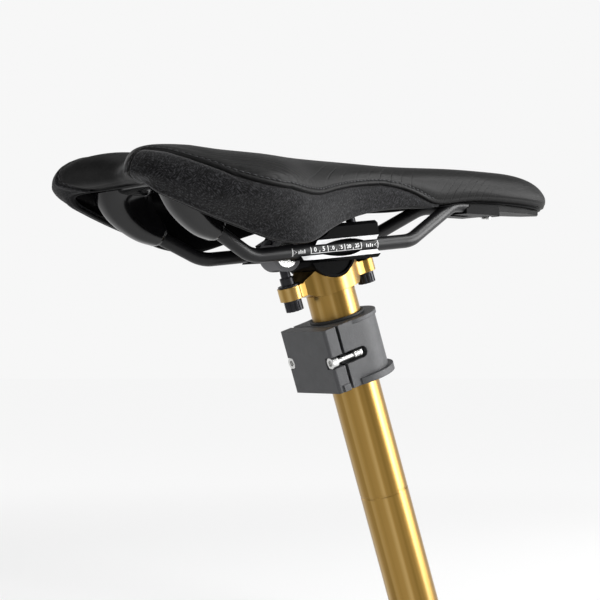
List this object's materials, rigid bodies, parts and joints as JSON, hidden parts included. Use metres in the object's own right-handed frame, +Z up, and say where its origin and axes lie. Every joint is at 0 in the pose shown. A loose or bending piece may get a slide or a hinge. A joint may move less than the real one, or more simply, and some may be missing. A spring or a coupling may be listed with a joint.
{
  "type": "bicycle saddle",
  "caption": "Padded bicycle saddle with a leather-look top and woven sides, on bent rails held by a tilting clamp on a round post with a split collar.",
  "frame": {"origin": "on the post's axis, 25 mm below the minimum-insertion line, inside the length of post that goes into the bicycle", "axes": "+X towards the saddle's nose, +Y to the rider's left, +Z up; the post leans back 18.5 degrees from +Z in the X-Z plane"},
  "size_m": [0.2794, 0.1352, 0.2382],
  "materials": {
    "gold": "satin gold anodised",
    "black_steel": "black oxide",
    "clamp_black": "gloss black anodised with bright machined bevels",
    "bright_steel": "bright zinc",
    "rail_black": "satin black with a white printed scale",
    "gloss_moulding": "gloss black moulding",
    "moulding": "satin black moulding",
    "foam": "closed-cell foam",
    "side_fabric": "dark grey twill weave",
    "cover": "fine-grained black, embossed lines",
    "collar_coat": "dark grey textured powder coat",
    "liner": "black"
  },
  "bodies": {
    "post": {"post_tube": "gold", "post_head": "gold", "clamp_bolts": "black_steel", "front_washer": "black_steel", "rear_washer": "black_steel"},
    "clamp": {"upper_clamp": "clamp_black", "lower_clamp": "clamp_black"},
    "front_nut": {"front_barrel_nut": "bright_steel"},
    "rear_nut": {"rear_barrel_nut": "bright_steel"},
    "saddle": {"rail_right": "rail_black", "rail_left": "rail_black", "rear_bridge": "gloss_moulding", "nose_bridge": "moulding", "nose_clip": "moulding", "nose_screw": "bright_steel", "base_shell": "moulding", "foam_pad": "foam", "side_panel_right": "side_fabric", "side_panel_left": "side_fabric", "top_cover": "cover"},
    "collar": {"collar_yoke": "collar_coat", "collar_cap": "collar_coat", "collar_liner": "liner", "collar_screws": "bright_steel", "collar_nuts": "bright_steel"}
  },
  "joints": [
    {"name": "saddle_tilt", "type": "hinge", "parent": "post", "child": "clamp", "pos_m": [-0.04918, 0, 0.14699], "axis": [0, 1, 0], "range_deg": [-6, 5]},
    {"name": "front_nut_turn", "type": "hinge", "parent": "clamp", "child": "front_nut", "pos_m": [-0.02551, 0, 0.1512], "axis": [0, 1, 0], "range_deg": [-5, 6]},
    {"name": "rear_nut_turn", "type": "hinge", "parent": "clamp", "child": "rear_nut", "pos_m": [-0.07291, 0, 0.14328], "axis": [0, 1, 0], "range_deg": [-5, 6]},
    {"name": "saddle_slide", "type": "slide", "parent": "clamp", "child": "saddle", "axis": [0.9936, 0, 0.1132], "range_m": [-0.0125, 0.0125]},
    {"name": "collar_slide", "type": "slide", "parent": "post", "child": "collar", "axis": [0.3173, 0, -0.9483], "range_m": [0, 0.035]}
  ],
  "couplings": [
    {"joint": "front_nut_turn", "follows": "saddle_tilt", "ratio": -1},
    {"joint": "rear_nut_turn", "follows": "saddle_tilt", "ratio": -1}
  ]
}
